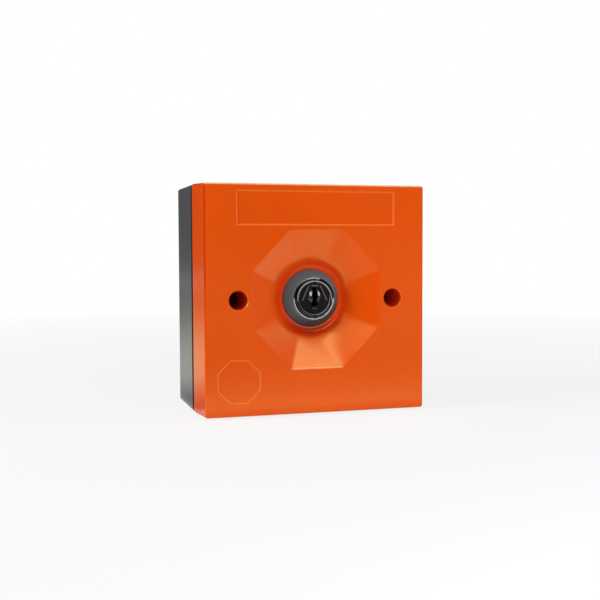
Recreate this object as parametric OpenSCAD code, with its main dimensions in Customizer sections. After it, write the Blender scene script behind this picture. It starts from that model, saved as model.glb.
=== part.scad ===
// Key-operated manual call point: an orange front plate on a dark grey surface box.
// The plate carries a key lock in an octagonal dish, and the lock's cam pushes two switches.
// Every module draws in wall coordinates, x across, y up and z out of the wall, and
// upright() then stands the piece against the wall, so that it faces -Y with +Z up.

/* [Front plate] */
// Width and height across the rim that meets the box
plate_w = 87; // [85:0.5:92]
// Height of the plate from its rim to its face
plate_h = 19; // [18:0.5:23]
// Wall thickness of the moulding
plate_wall = 2.5; // [2:0.1:2.8]
// Lean of each side from the rim to the face
plate_draft = 0.8; // [0.2:0.1:1.5]
// Radius of the four corners, seen from the front
plate_corner_r = 1; // [0.6:0.1:2]
// Radius along the edge of the face
face_edge_r = 0.5; // [0.2:0.1:1]
// Distance between the two screws that hold the plate to the box
screw_pitch = 60.3; // [60.3:0.1:62]
// Diameter of the deep screw holes in the face
screw_hole_d = 7; // [6.8:0.1:7.6]
// Chamfer round the mouth of a screw hole
hole_chamfer = 0.35; // [0.2:0.05:0.5]
// Wall of the tube round a screw hole
boss_wall = 1.8; // [1.4:0.1:2.2]
// Thickness of the tube's floor under the screw head
boss_floor = 2.5; // [2:0.1:3]
// Width of the bare label recess
label_w = 61.3; // [50:0.1:64]
// Height of the bare label recess
label_h = 12.6; // [8:0.1:13]
// Distance from the face's top edge to the label recess
label_margin = 2.5; // [2:0.1:4]
// Depth of the label recess and the octagon mark
recess_depth = 0.4; // [0.2:0.1:0.8]
// Size of the octagon mark across its flats
mark_af = 16.2; // [12:0.1:18]
// Distance from the face's left and bottom edges to the octagon mark
mark_margin = 4.6; // [3:0.1:5]

/* [Dish] */
// Height of the octagonal dish at the face, across its flats
dish_af = 52; // [50:0.1:53]
// Width of the dish as a share of its height
dish_narrowing = 0.965; // [0.92:0.005:1]
// Slope of the flat facets, in degrees from the face
facet_angle = 30; // [26:1:32]
// Width of the sloping facets, seen from the front
facet_w = 9.5; // [8:0.1:10]
// Radius that rounds the dish's rim
rim_r = 1.5; // [0.5:0.1:2]
// Depth of the collar's seat below the face
seat_depth = 9.6; // [9.2:0.1:10]
// Depth of the round moat below the collar's seat
moat_drop = 0.6; // [0.3:0.1:0.8]
// Radius of the moat's floor at its outer side
moat_r = 12.4; // [12.2:0.1:13]
// Height of the lip that stands round the collar's foot
lip_h = 0.6; // [0.3:0.1:1]
// Thickness of that lip
lip_wall = 0.5; // [0.4:0.05:0.8]

/* [Back box] */
// Step in from the plate's rim to the sides of the box
rim_step = 0.1; // [0.1:0.05:0.4]
// Depth of the box from the wall to the plate's rim
box_depth = 33; // [32:0.5:40]
// Thickness of the side walls
box_wall = 2.45; // [2:0.05:2.6]
// Thickness of the rear wall
rear_wall = 2.5; // [2:0.1:3]
// Radius of the box's four long edges
box_corner_r = 1; // [0.6:0.1:3]
// Width of the rebate round the box's front rim, the shadow line behind the plate
rebate_w = 3.5; // [2:0.5:5]
// Depth of that rebate
rebate_depth = 0.8; // [0.4:0.1:0.9]
// Diameter of the cable entry in the rear wall
entry_d = 20; // [16:0.5:20.5]
// Height of the cable entry's centre above the middle
entry_y = 15; // [14:0.5:16]
// Diameter of the knock-outs in the top and bottom walls
knockout_d = 20.5; // [16:0.5:21]
// Distance between the two wall fixing holes
fixing_pitch = 60.3; // [60:0.1:64]
// Diameter of a wall fixing hole
fixing_d = 4.5; // [4:0.1:5]
// Diameter of the pillars that take the plate's screws
pillar_d = 9; // [8:0.1:10]

/* [Lock] */
// Diameter of the collar at its foot
collar_d = 21.9; // [21.5:0.1:22]
// Diameter of the collar's flat front lip
collar_front_d = 16.9; // [16.8:0.1:17.6]
// Height of the collar above its seat
collar_h = 5.5; // [5.3:0.1:5.8]
// Thickness of the ledge inside the collar that the lock head clamps
ledge_h = 2; // [1.6:0.1:2.2]
// Diameter of the lock head inside the collar
head_d = 15.8; // [15.6:0.05:15.9]
// Height of the lock head above the ledge
head_h = 2.8; // [2.6:0.1:2.9]
// Diameter of the threaded lock barrel
barrel_d = 14; // [13.6:0.1:14.2]
// Width across the barrel's two flats
barrel_flats = 12.8; // [12.6:0.1:13]
// Length of the lock body from the head's front to the barrel's end
lock_l = 20.4; // [19.9:0.1:20.9]
// Diameter of the turning plug
plug_d = 10.5; // [10:0.1:10.6]
// Diameter of the raised ring round the plug's face
ring_d = 14.35; // [14:0.05:14.4]
// Width of that ring
ring_w = 1.24; // [1:0.02:1.4]
// Height of the ring's crest above the plug's face
ring_h = 0.6; // [0.4:0.05:0.8]
// Height of the plug's face above the lock head
face_rise = 1; // [0.6:0.1:1.2]
// Width of the key slot
key_slot_w = 1.8; // [1.4:0.1:2]
// Height of the key slot
key_slot_h = 7; // [6:0.1:7.4]
// Number of wafers in the plug
wafer_count = 5; // [3:1:5]
// Thickness of a wafer
wafer_t = 0.9; // [0.6:0.1:1.1]
// Size of the hexagonal nut across its flats
nut_af = 19; // [18:0.5:20]
// Thickness of the nut
nut_h = 4; // [3:0.5:5]

/* [Cam and switches] */
// Radius of the cam where a plunger rests
cam_low_r = 6.3; // [6:0.1:6.6]
// Travel of a plunger over the key's quarter turn
cam_rise = 1.5; // [1.2:0.1:1.6]
// Thickness of the cam
cam_t = 4; // [3.6:0.1:4.2]
// Height of a switch case, along its plunger
case_h = 10.2; // [10:0.1:10.6]
// Length of a switch case
case_l = 19.8; // [19:0.1:21]
// Thickness of a switch case, with its lid
case_t = 6.4; // [6.2:0.1:6.8]
// Thickness of the case's walls and of its lid
case_wall = 1; // [0.8:0.1:1.1]
// Distance between the two screws of a switch
case_hole_pitch = 9.5; // [9.2:0.1:10.4]
// Number of coils in a plunger's return spring
spring_coils = 6; // [4:1:7]

/* [Board and terminals] */
// Height of the circuit board
board_h = 50; // [49:0.5:52]
// Thickness of the circuit board
board_t = 1.6; // [1.2:0.1:2]
// Diameter of the posts that carry the board
post_d = 7; // [6:0.1:7.4]
// Number of terminals in the block
terminal_ways = 6; // [3:1:6]
// Distance from one terminal to the next
terminal_pitch = 5; // [4.8:0.1:5.2]
// Height of the terminal block
terminal_h = 10; // [9.6:0.1:10.4]
// Depth of the terminal block behind the board
terminal_depth = 10; // [9.6:0.1:10.4]

/* [Clearances] */
// Gap beside a sliding or turning piece
run_gap = 0.05; // [0.03:0.01:0.08]
// Gap between a hole and the piece that sits in it
seat_gap = 0.1; // [0.05:0.01:0.15]
// Gap between the cam and a plunger, and between open and closed contacts
cam_gap = 0.15; // [0.1:0.01:0.2]
// Gap between the box's walls and the lip of the plate
lip_gap = 0.3; // [0.2:0.05:0.4]

/* [Hidden] */
$fn = 64;
quarter = 90;
octant = 45;
eps = 0.5;

box_w = plate_w - 2 * rim_step;
face_w = plate_w - 2 * plate_draft;

// Levels out of the wall
face_z = box_depth + plate_h;
under_face_z = face_z - plate_wall;
seat_z = face_z - seat_depth;
moat_z = seat_z - moat_drop;
dish_back_z = seat_z - plate_wall;
ledge_z = seat_z + ledge_h;
head_z = ledge_z + head_h;
barrel_end_z = head_z - lock_l;
cam_z = barrel_end_z - cam_gap - cam_t;
switch_z = cam_z + cam_t / 2 - case_t / 2;
board_z = switch_z - board_t;
boss_reach = 3;
boss_end_z = box_depth - boss_reach;
boss_seat_z = boss_end_z + boss_floor;
pillar_end_z = boss_end_z - lip_gap;

// Plate details
boss_d = screw_hole_d + 2 * boss_wall;
screw_x = screw_pitch / 2;
lip_reach = 2;
lip_t = 1.3;
lip_root = 3;
rib_t = 1.5;
label_corner_r = 0.8;
label_y = face_w / 2 - label_margin - label_h / 2;
mark_offset = face_w / 2 - mark_margin - mark_af / 2;
arc_steps = 6;
edge_steps = 3;

// Fasteners: shank radius, head radius, head height
plate_shank_r = 1.75;
plate_head_r = 3.1;
plate_head_h = 2.4;
plate_screw_l = 20;
insert_l = 7;
insert_r = 2.6;
board_shank_r = 1.45;
board_head_r = 2.75;
board_head_h = 2;
board_screw_l = 11;
switch_shank_r = 1;
switch_head_r = 1.9;
switch_head_h = 1.3;
switch_nut_af = 4;
switch_nut_h = 1.6;
driver_slot_w = 0.8;
driver_slot_depth = 0.9;

// Lock details
collar_in_r = head_d / 2 + seat_gap;
collar_lip_r = 0.25;
collar_foot_h = 1.2;
washer_t = 0.8;
ring_mid_r = (ring_d - ring_w) / 2;
plug_face_z = head_z + face_rise;
flange_sink = 2;
flange_z = head_z - flange_sink;
tail_w = 5.6;
tail_short = 0.2;
tail_l = cam_t - tail_short;
lug_w = 20;
lug_h = 1.1;
lug_play = 3;
wafer_w = 4.6;
wafer_window_w = 2.6;
wafer_window_h = 7.4;
wafer_pitch = 2.8;
wafer_drop = 0.6;
wafer_first_z = ledge_z - wafer_drop;
key_slot_y = 0.7;
dome_shift = 0.3;
key_slot_floor = 2;
key_slot_end_z = barrel_end_z + key_slot_floor;

// Switch details, in the switch's own frame: x away from the cam, y along the case
case_gap = 2.2;
case_x = cam_low_r + cam_rise + case_gap;
case_mid_z = cam_z + cam_t / 2;
case_hole_inset = 2.5;
case_hole_x = case_x + case_h - case_hole_inset;
case_boss_r = 1.8;
plunger_w = 2.8;
plunger_t = 2.2;
plunger_tip_x = cam_low_r + cam_gap;
flange_x = case_x + case_wall + seat_gap;
flange_t = 0.8;
flange_step = 0.5;
bridge_x = flange_x + flange_t;
bridge_t = 0.25;
bridge_l = 15;
bridge_w = 3.6;
peg_r = 0.55;
peg_l = 2.4;
rivet_r = 0.6;
rivet_h = 0.3;
rivet_inset = 0.8;
strip_t = 0.4;
strip_w = 1.3;
strip_gap = 0.2;
strip_y = case_l / 2 - case_wall - strip_t - strip_gap;
strip_in = 2.4;
strip_margin = 0.3;
leg_w = 0.9;
leg_out = 1.2;
leg_gap = 0.3;
near_leg = case_x + case_h + leg_gap;
leg_hole_r = 0.65;
leg_below = 1;
spring_x = bridge_x + bridge_t;
spring_end_x = case_x + case_h - case_wall;
spring_r = 1;
wire_r = 0.15;

// Board details
board_gap = 1.1;
board_w = screw_pitch - boss_d - 2 * board_gap;
board_corner_r = 2;
centre_hole_r = 5;
post_inset_x = 3.25;
post_inset_y = 4.5;
post_x = board_w / 2 - post_inset_x;
post_y = board_h / 2 - post_inset_y;
terminal_inset = 1;
terminal_y = terminal_inset - board_h / 2;
terminal_z = board_z - terminal_depth;
chamber_w = 3.8;
clamp_w = 3.6;
clamp_h = 6;
clamp_t = 5.2;
clamp_sink = 3.4;
wire_hole_r = 1.3;
wire_hole_lift = 0.4;
clamp_bite = 0.6;
terminal_shank_r = 1.2;
terminal_head_r = 1.8;
terminal_head_h = 1.6;
pin_w = 0.9;
pin_inset = 2;
resistor_y = 15.5;
resistor_l = 6.5;
resistor_r = 1.25;
resistor_span = 12.7;
lead_r = 0.3;

// Box details
box_half_in = box_w / 2 - box_wall;
knockout_z = box_depth / 2;
knockout_groove = 1.3;
groove_w = 0.8;
fixing_pad_d = 11;
fixing_pad_h = 1;
earth_margin_x = 12;
earth_margin_y = 15;
earth_x = box_half_in - earth_margin_x;
earth_y = earth_margin_y - box_half_in;
earth_post_h = 4;
earth_r = 3.6;
earth_l = 8;
earth_wire_r = 1.7;

// ---- Shared shapes ----

module upright() {
    rotate([quarter, 0, 0])
        children();
}

// A solid through a list of rings of equal length, each counter-clockwise, from low z to high.
module loft(rings) {
    n = len(rings[0]);
    last = len(rings) - 1;
    points = [for (ring = rings) each ring];
    floor_face = [for (i = [0 : n - 1]) i];
    roof_face = [for (i = [n - 1 : -1 : 0]) last * n + i];
    sides = [
        for (k = [0 : last - 1], i = [0 : n - 1])
            let (j = (i + 1) % n, a = k * n + i, b = k * n + j)
                each [[a, a + n, b + n], [a, b + n, b]]
    ];
    polyhedron(points = points, faces = concat([floor_face, roof_face], sides));
}

function arc_points(x, y, r, start, end, steps) =
    [for (i = [0 : steps]) let (a = start + (end - start) * i / steps) [x + r * cos(a), y + r * sin(a)]];

function corner(x, y, r, start) = arc_points(x, y, r, start, start + quarter, arc_steps);

function rounded_rect(w, h, r) =
    let (x = w / 2 - r, y = h / 2 - r)
        concat(
            corner(x, y, r, 0),
            corner(-x, y, r, quarter),
            corner(-x, -y, r, 2 * quarter),
            corner(x, -y, r, 3 * quarter)
        );

function lifted(ring, z) = [for (p = ring) [p[0], p[1], z]];

module mirrored(axis) {
    children();
    mirror(axis)
        children();
}

// A copy in each of the four quarters round the middle of the plate
module at_corners(x, y) {
    for (sx = [-1, 1], sy = [-1, 1])
        translate([sx * x, sy * y, 0])
            children();
}

// A slotted screw with its head's underside at z = 0 and its shank pointing along -z
module slotted_screw(shank_r, shank_l, head_r, head_h) {
    difference() {
        union() {
            cylinder(r = head_r, h = head_h);
            translate([0, 0, -shank_l])
                cylinder(r = shank_r, h = shank_l + head_h / 2);
        }
        translate([0, 0, head_h - driver_slot_depth / 2])
            cube([3 * head_r, driver_slot_w, driver_slot_depth], center = true);
    }
}

// ---- Front plate ----

function plate_size(z) = plate_w - 2 * plate_draft * (z - box_depth) / plate_h;

function plate_ring(z, inset, r) =
    lifted(rounded_rect(plate_size(z) - 2 * inset, plate_size(z) - 2 * inset, r), z);

// The moulding's outside: straight drafted walls that roll over into the face
function plate_rings() =
    concat(
        [plate_ring(box_depth, 0, plate_corner_r)],
        [
            for (i = [0 : edge_steps])
                let (a = quarter * i / edge_steps)
                    plate_ring(
                        face_z - face_edge_r * (1 - sin(a)), face_edge_r * (1 - cos(a)), plate_corner_r
                    )
        ]
    );

function cavity_rings() =
    [for (z = [box_depth - eps, under_face_z]) plate_ring(z, plate_wall, plate_corner_r)];

// Distance from the dish's middle to a soft octagon's edge: flats at apothem a, and corners that
// are sharp for a large power and vanish into a circle for a power of 2.
function soft_octagon(a, power, angle) =
    let (terms = [for (k = [0 : 3]) pow(abs(cos(angle - octant * k)), power)])
        a * pow((1 + 2 * pow(cos(octant), power)) / (terms[0] + terms[1] + terms[2] + terms[3]), 1 / power);

// Angles round the dish, closer together near the octagon's corners
function dish_angles(per_side) = [
    for (k = [0 : 7], i = [0 : per_side - 1])
        octant * (k + 1 / 2) + octant * (1 - cos(2 * quarter * i / per_side)) / 2
];

function dish_ring(a, z, power, per_side) = [
    for (angle = dish_angles(per_side))
        let (r = soft_octagon(a, power, angle))
            [r * cos(angle) * narrowing(a), r * sin(angle), z]
];

// The dish is a little narrower than it is high at its rim, and round at the moat.
function narrowing(a) =
    1 - (1 - dish_narrowing) * min(max((a - moat_r) / (dish_af / 2 - moat_r), 0), 1);

// The dish's section, from the rim inwards, as [apothem, depth below the face]
rim_x = dish_af / 2 + rim_r * tan(facet_angle / 2);
facet_end = [dish_af / 2 - facet_w, -facet_w * tan(facet_angle)];
moat_end = [moat_r, moat_z - face_z];
moat_pull = [
    moat_r + (facet_end[0] - moat_r) * 0.2,
    facet_end[1] - (facet_end[0] - moat_r) * 0.8 * tan(facet_angle)
];
function bezier(t) = (1 - t) * (1 - t) * facet_end + 2 * t * (1 - t) * moat_pull + t * t * moat_end;
rim_section = [
    for (t = [0.15 : 0.2125 : 1]) [rim_x - rim_r * sin(t * facet_angle), rim_r * (cos(t * facet_angle) - 1)]
];
facet_section = [for (t = [1 / 3, 2 / 3]) (1 - t) * rim_section[4] + t * facet_end];
moat_section = [for (t = [0 : 0.2 : 1]) bezier(t)];
dish_section = concat(rim_section, facet_section, moat_section);

// How octagonal the dish still is at a given depth: sharp at the rim and round in the moat
sharp_power = 70;
function octagon_power(depth) = 2 + (sharp_power - 2) * pow(1 - depth / moat_end[1], 2);

module dish_cutter() {
    mouth = [for (p = [[rim_section[0][0], eps]]) dish_ring(p[0], face_z + p[1], sharp_power, 10)];
    bowl = [
        for (i = [len(dish_section) - 1 : -1 : 0])
            let (p = dish_section[i])
                dish_ring(p[0], face_z + p[1], octagon_power(p[1]), 10)
    ];
    difference() {
        loft(concat(bowl, mouth));
        translate([0, 0, moat_z - eps])
            cylinder(r = collar_d / 2 + seat_gap + lip_wall, h = seat_z + lip_h - moat_z + eps);
    }
    translate([0, 0, seat_z])
        cylinder(r = collar_d / 2 + seat_gap, h = collar_h);
}

// The back of the dish keeps the moulding's wall thickness behind the facets and the moat
module dish_back() {
    drop = plate_wall / cos(facet_angle);
    back = [
        [dish_af / 2 + (drop - plate_wall + eps) / tan(facet_angle), -plate_wall + eps],
        [facet_end[0], facet_end[1] - drop],
        [moat_r + plate_wall, (facet_end[1] - drop + dish_back_z - face_z) / 2],
        [moat_r + plate_wall / 2, dish_back_z - face_z]
    ];
    loft([
        for (i = [3 : -1 : 0])
            dish_ring(back[i][0], face_z + back[i][1], octagon_power(max(back[i][1], moat_end[1])), 6)
    ]);
}

// A rim that drops inside the box's walls and centres the plate on it
module locating_lip() {
    outside = 2 * (box_half_in - lip_gap);
    inside = outside - 2 * lip_t;
    translate([0, 0, box_depth - lip_reach])
        difference() {
            linear_extrude(height = lip_reach + lip_root)
                polygon(rounded_rect(outside, outside, plate_corner_r));
            translate([0, 0, -eps])
                linear_extrude(height = lip_reach + lip_root + 2 * eps)
                    polygon(rounded_rect(inside, inside, plate_corner_r));
        }
    translate([0, 0, box_depth])
        difference() {
            linear_extrude(height = lip_root)
                polygon(rounded_rect(plate_w - plate_wall, plate_w - plate_wall, plate_corner_r));
            translate([0, 0, -eps])
                linear_extrude(height = lip_root + 2 * eps)
                    polygon(rounded_rect(inside + lip_t, inside + lip_t, plate_corner_r));
        }
}

module plate_bosses() {
    mirrored([1, 0, 0])
        translate([screw_x, 0, 0]) {
            translate([0, 0, boss_end_z])
                cylinder(d = boss_d, h = face_z - boss_end_z - plate_wall / 2);
            translate([0, -rib_t / 2, box_depth + lip_root])
                cube([plate_w / 2 - screw_x - plate_wall, rib_t, plate_h - lip_root - plate_wall / 2]);
        }
    at_corners(post_x, post_y)
        translate([0, 0, board_z + board_t])
            cylinder(d = post_d, h = face_z - board_z - board_t - plate_wall / 2);
}

module front_plate() {
    color("#D9500A") upright()
        difference() {
            union() {
                difference() {
                    loft(plate_rings());
                    loft(cavity_rings());
                }
                dish_back();
                plate_bosses();
                locating_lip();
            }
            dish_cutter();
            lock_hole();
            mirrored([1, 0, 0])
                translate([screw_x, 0, 0])
                    plate_screw_hole();
            at_corners(post_x, post_y)
                translate([0, 0, board_z])
                    cylinder(r = board_shank_r + run_gap, h = board_t + board_screw_l);
            translate([0, label_y, face_z - recess_depth])
                linear_extrude(height = eps)
                    polygon(rounded_rect(label_w, label_h, label_corner_r));
            translate([-mark_offset, -mark_offset, face_z - recess_depth])
                rotate([0, 0, octant / 2])
                    cylinder(d = mark_af / cos(octant / 2), h = eps, $fn = 8);
        }
}

// Double-D hole that keeps the lock from turning in the dish
module lock_hole() {
    translate([0, 0, dish_back_z - eps])
        intersection() {
            cylinder(r = barrel_d / 2 + seat_gap, h = plate_wall + 2 * eps);
            translate([-barrel_flats / 2 - seat_gap, -barrel_d, 0])
                cube([barrel_flats + 2 * seat_gap, 2 * barrel_d, plate_wall + 2 * eps]);
        }
}

module plate_screw_hole() {
    translate([0, 0, boss_seat_z])
        cylinder(d = screw_hole_d, h = face_z - boss_seat_z + eps);
    translate([0, 0, boss_end_z - eps])
        cylinder(r = plate_shank_r + seat_gap, h = boss_floor + 2 * eps);
    translate([0, 0, face_z - hole_chamfer])
        cylinder(d1 = screw_hole_d, d2 = screw_hole_d + 2 * hole_chamfer, h = hole_chamfer);
}

module plate_screws() {
    color("#8C8C90") upright()
        mirrored([1, 0, 0])
            translate([screw_x, 0, boss_seat_z])
                slotted_screw(plate_shank_r, plate_screw_l, plate_head_r, plate_head_h);
}

// ---- Back box ----

module box_shell() {
    inner_r = max(box_corner_r - box_wall, plate_corner_r);
    rim_w = box_w - 2 * rebate_depth;
    difference() {
        union() {
            linear_extrude(height = box_depth - rebate_w)
                polygon(rounded_rect(box_w, box_w, box_corner_r));
            linear_extrude(height = box_depth)
                polygon(rounded_rect(rim_w, rim_w, box_corner_r));
        }
        translate([0, 0, rear_wall])
            linear_extrude(height = box_depth)
                polygon(rounded_rect(2 * box_half_in, 2 * box_half_in, inner_r));
    }
}

// A ring groove that leaves a thin web, so that the disc inside it can be knocked out
module knockout_ring() {
    translate([0, box_w / 2 - knockout_groove, knockout_z])
        rotate([-quarter, 0, 0])
            difference() {
                cylinder(d = knockout_d, h = knockout_groove + eps);
                translate([0, 0, -eps])
                    cylinder(d = knockout_d - 2 * groove_w, h = knockout_groove + 3 * eps);
            }
}

module box_pillars() {
    mirrored([1, 0, 0]) {
        translate([screw_x, 0, rear_wall / 2])
            cylinder(d = pillar_d, h = pillar_end_z - rear_wall / 2);
        translate([screw_x, -rib_t / 2, rear_wall / 2])
            cube([box_half_in - screw_x + box_wall / 2, rib_t, pillar_end_z - rear_wall / 2 - lip_root]);
    }
    translate([earth_x, earth_y, rear_wall / 2])
        cylinder(r = earth_r, h = earth_post_h + rear_wall / 2);
    mirrored([0, 1, 0])
        translate([0, fixing_pitch / 2, rear_wall / 2])
            cylinder(d = fixing_pad_d, h = fixing_pad_h + rear_wall / 2);
}

module back_box() {
    color("#505154") upright()
        difference() {
            union() {
                box_shell();
                box_pillars();
            }
            mirrored([0, 1, 0])
                knockout_ring();
            mirrored([0, 1, 0])
                translate([0, fixing_pitch / 2, -eps])
                    cylinder(d = fixing_d, h = rear_wall + fixing_pad_h + 2 * eps);
            translate([0, entry_y, -eps])
                cylinder(d = entry_d, h = rear_wall + 2 * eps);
            mirrored([1, 0, 0])
                translate([screw_x, 0, 0]) {
                    translate([0, 0, pillar_end_z - insert_l])
                        cylinder(r = insert_r, h = insert_l + eps);
                    translate([0, 0, boss_seat_z - plate_screw_l - eps])
                        cylinder(r = plate_shank_r + seat_gap, h = plate_screw_l);
                }
            translate([earth_x, earth_y, rear_wall + eps])
                cylinder(r = board_shank_r + run_gap, h = earth_post_h);
        }
}

// Brass inserts in the pillars, flush with their tops
module screw_inserts() {
    color("#C9A24B") upright()
        mirrored([1, 0, 0])
            translate([screw_x, 0, pillar_end_z - insert_l])
                difference() {
                    cylinder(r = insert_r, h = insert_l);
                    translate([0, 0, -eps])
                        cylinder(r = plate_shank_r + run_gap, h = insert_l + 2 * eps);
                }
}

// Brass post with a cross hole for the cable's earth core
module earth_terminal() {
    color("#C9A24B") upright()
        translate([earth_x, earth_y, rear_wall + earth_post_h])
            difference() {
                cylinder(r = earth_r, h = earth_l);
                translate([0, 0, -eps])
                    cylinder(r = board_shank_r + run_gap, h = earth_l + 2 * eps);
                translate([-2 * earth_r, 0, earth_l / 3])
                    rotate([0, quarter, 0])
                        cylinder(r = earth_wire_r, h = 4 * earth_r);
            }
}

module earth_screw() {
    color("#B9BBBE") upright()
        translate([earth_x, earth_y, rear_wall + earth_post_h + earth_l])
            slotted_screw(board_shank_r, earth_l + earth_post_h / 2, board_head_r, board_head_h);
}

// ---- Lock ----

// A cone with a rolled front lip. Its ledge is clamped between the dish and the lock head.
module lock_collar() {
    lip_x = collar_front_d / 2 - collar_lip_r;
    lip_y = collar_h - collar_lip_r;
    lean = atan((collar_d / 2 - collar_front_d / 2) / (lip_y - collar_foot_h));
    section = concat(
        [
            [barrel_d / 2 + seat_gap, 0],
            [collar_d / 2, 0],
            [collar_d / 2, collar_foot_h]
        ],
        arc_points(lip_x, lip_y, collar_lip_r, lean, quarter, 4),
        arc_points(
            collar_in_r + collar_lip_r / 2, collar_h - collar_lip_r / 2, collar_lip_r / 2,
            quarter, 2 * quarter, 3
        ),
        [
            [collar_in_r, ledge_h],
            [barrel_d / 2 + seat_gap, ledge_h]
        ]
    );
    color("#56575A") upright()
        translate([0, 0, seat_z])
            rotate_extrude()
                polygon(section);
}

// A thin raised rim round the lock head that slopes down towards the plug
module head_bezel() {
    bezel_h = 0.55;
    bezel_foot = 0.55;
    bezel_crest = 0.18;
    head_r = head_d / 2;
    translate([0, 0, head_z])
        rotate_extrude()
            polygon([
                [head_r - bezel_foot, -head_h / 2],
                [head_r, -head_h / 2],
                [head_r, bezel_h],
                [head_r - bezel_crest, bezel_h],
                [head_r - bezel_foot, 0]
            ]);
}

module lock_body() {
    bore_r = plug_d / 2 + run_gap;
    color("#2E2F31") upright()
        difference() {
            union() {
                translate([0, 0, barrel_end_z])
                    cylinder(d = barrel_d, h = head_z - barrel_end_z - head_h / 2);
                translate([0, 0, ledge_z])
                    cylinder(d = head_d, h = head_h);
                head_bezel();
            }
            translate([0, 0, barrel_end_z - eps])
                cylinder(r = bore_r, h = lock_l + 2 * eps);
            translate([0, 0, flange_z])
                cylinder(r = ring_d / 2 + seat_gap, h = head_z);
            mirrored([1, 0, 0])
                translate([barrel_flats / 2, -barrel_d, barrel_end_z - eps])
                    cube([barrel_d, 2 * barrel_d, ledge_z - barrel_end_z + eps]);
            translate([-wafer_w / 2 - seat_gap, -bore_r - wafer_t, key_slot_end_z])
                cube([wafer_w + 2 * seat_gap, 2 * (bore_r + wafer_t), flange_z - key_slot_end_z - wafer_t]);
            stop_notch();
        }
}

// The arc in the barrel's end that lets the cam's lug swing through a quarter turn
module stop_notch() {
    sweep = quarter + lug_w + 2 * lug_play;
    rotate([0, 0, -lug_w / 2 - lug_play])
        translate([0, 0, barrel_end_z - eps])
            rotate_extrude(angle = sweep)
                translate([plug_d / 4, 0])
                    square([barrel_d, lug_h + seat_gap + eps]);
}

// Toothed washer that bites between the nut and the back of the dish
module lock_washer() {
    ring_out_r = nut_af / 2 - 1;
    teeth = 12;
    color("#B4B6BA") upright()
        translate([0, 0, dish_back_z - washer_t])
            difference() {
                union() {
                    cylinder(r = ring_out_r, h = washer_t);
                    for (i = [0 : teeth - 1])
                        rotate([0, 0, i * 4 * quarter / teeth])
                            translate([ring_out_r - 1, -1, 0])
                                cube([2, 2, washer_t]);
                }
                translate([0, 0, -eps])
                    cylinder(r = barrel_d / 2 + seat_gap, h = washer_t + 2 * eps);
            }
}

module lock_nut() {
    corner_r = nut_af / 2 / cos(2 * quarter / 6);
    cut = 1;
    color("#C2C4C8") upright()
        translate([0, 0, dish_back_z - washer_t - nut_h])
            difference() {
                intersection() {
                    cylinder(r = corner_r, h = nut_h, $fn = 6);
                    cylinder(r1 = corner_r - cut, r2 = corner_r - cut + nut_h, h = nut_h);
                }
                translate([0, 0, -eps])
                    cylinder(r = barrel_d / 2 + run_gap, h = nut_h + 2 * eps);
            }
}

// ---- Turning plug ----

// A thin rib on the plug's face from one point to another, with its end at each point rounded
module face_rib(start, end, w) {
    rib_h = 0.35;
    run = end - start;
    translate([start[0], start[1], plug_face_z - rib_h])
        rotate([0, 0, atan2(run[1], run[0])]) {
            translate([0, -w / 2, 0])
                cube([norm(run), w, 2 * rib_h]);
            cylinder(d = w, h = 2 * rib_h);
            translate([norm(run), 0, 0])
                cylinder(d = w, h = 2 * rib_h);
        }
}

// A fan of raised ribs: a bar over the slot, a leg down each side and a short bar inside it.
// A thin sill stands under the slot's mouth.
module plug_fan() {
    fan_top = [1.9, 5.8];
    fan_foot = [4.75, -0.55];
    bar_end = [1.2, 4.9];
    sill_end = [0.9, -3.7];
    fan_w = 0.5;
    face_rib([-fan_top[0], fan_top[1]], fan_top, fan_w);
    face_rib([-bar_end[0], bar_end[1]], bar_end, fan_w);
    face_rib([-sill_end[0], sill_end[1]], sill_end, fan_w / 2);
    mirrored([1, 0, 0])
        face_rib(fan_top, fan_foot, fan_w);
}

// The key slot with a square mouth for the key's tip, and a notch in the ring above and below
module plug_cuts() {
    bit_w = 2.4;
    bit_h = 1.4;
    notch_w = 0.9;
    translate([-key_slot_w / 2, key_slot_y - key_slot_h / 2, key_slot_end_z])
        cube([key_slot_w, key_slot_h, plug_face_z]);
    translate([-bit_w / 2, key_slot_y - key_slot_h / 2, plug_face_z - 2 * bit_h])
        cube([bit_w, bit_h, plug_face_z]);
    mirrored([0, 1, 0])
        translate([-notch_w / 2, ring_mid_r - ring_w, plug_face_z + ring_h / 3])
            cube([notch_w, 2 * ring_w, ring_h]);
}

// A shallow dome round the key slot, so that a key finds its way in
module plug_dome() {
    dome_curve_r = 4;
    dome_rise = 1;
    translate([0, key_slot_y + dome_shift, plug_face_z + dome_rise - dome_curve_r])
        sphere(r = dome_curve_r);
}

module lock_plug() {
    ring_crest = plug_face_z + ring_h;
    section = concat(
        [
            [0, plug_shoulder_z],
            [plug_d / 2, plug_shoulder_z],
            [plug_d / 2, flange_z + run_gap],
            [ring_d / 2, flange_z + run_gap]
        ],
        arc_points(ring_mid_r, ring_crest - ring_w / 2, ring_w / 2, 0, 2 * quarter, 8),
        [
            [ring_mid_r - ring_w / 2, plug_face_z],
            [0, plug_face_z]
        ]
    );
    color("#1B1B1D") upright() {
        difference() {
            union() {
                rotate_extrude()
                    polygon(section);
                translate([-tail_w / 2, -tail_w / 2, plug_shoulder_z - tail_l])
                    cube([tail_w, tail_w, tail_l + eps]);
                plug_fan();
                plug_dome();
            }
            plug_cuts();
            for (i = [0 : wafer_count - 1])
                translate([-wafer_w / 2 - seat_gap, -plug_d, wafer_z(i) - seat_gap])
                    cube([wafer_w + 2 * seat_gap, 2 * plug_d, wafer_t + 2 * seat_gap]);
            translate([0, 0, plug_shoulder_z - tail_l - eps])
                cylinder(r = board_shank_r + run_gap, h = tail_l);
        }
    }
}

plug_shoulder_z = cam_z + cam_t;
function wafer_z(i) = wafer_first_z - wafer_t - i * wafer_pitch;

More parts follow.
